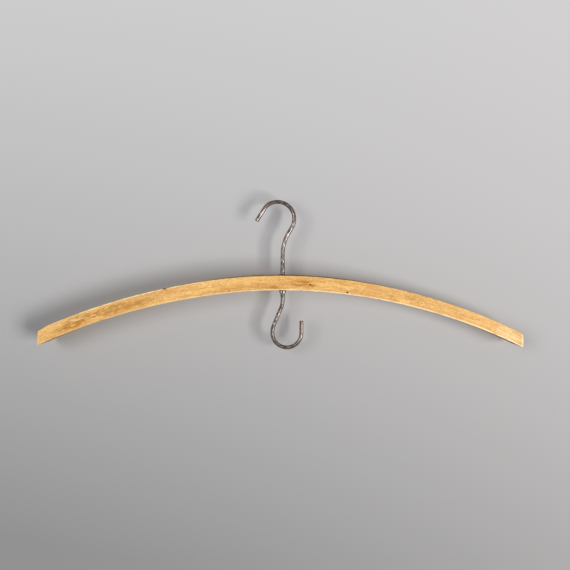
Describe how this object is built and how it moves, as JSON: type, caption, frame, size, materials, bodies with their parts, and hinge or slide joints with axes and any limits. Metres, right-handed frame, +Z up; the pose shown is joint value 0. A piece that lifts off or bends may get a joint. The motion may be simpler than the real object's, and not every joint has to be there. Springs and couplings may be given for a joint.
{
  "type": "clothes hanger",
  "caption": "Curved wooden bar on a swivelling steel wire hook, with a large hook above for the rail and a small hook below for hanging a second item.",
  "frame": {"origin": "where the rail touches the inside of the upper hook's crown, half-way through the wire", "axes": "+X along the bar to the right seen from the front, +Z up as the hanger hangs, front face towards -Y"},
  "size_m": [0.4455, 0.025, 0.1391],
  "materials": {
    "beech": "oiled, worn pale along its edges",
    "old_steel": "browned bare wire, pitted round the shank",
    "worn_plate": "dull plating, rubbed bright on its rim"
  },
  "bodies": {
    "bar": {"shoulder_bar": "beech"},
    "washer": {"thrust_washer": "worn_plate"},
    "hook": {"hook_wire": "old_steel", "stop_collar": "worn_plate"}
  },
  "joints": [
    {"name": "hook_drop", "type": "slide", "parent": "bar", "child": "washer", "axis": [0, 0, -1], "range_m": [0, 0.018]},
    {"name": "hook_swivel", "type": "hinge", "parent": "washer", "child": "hook", "pos_m": [0.00481, 0, 0], "axis": [0, 0, 1], "continuous": true}
  ]
}
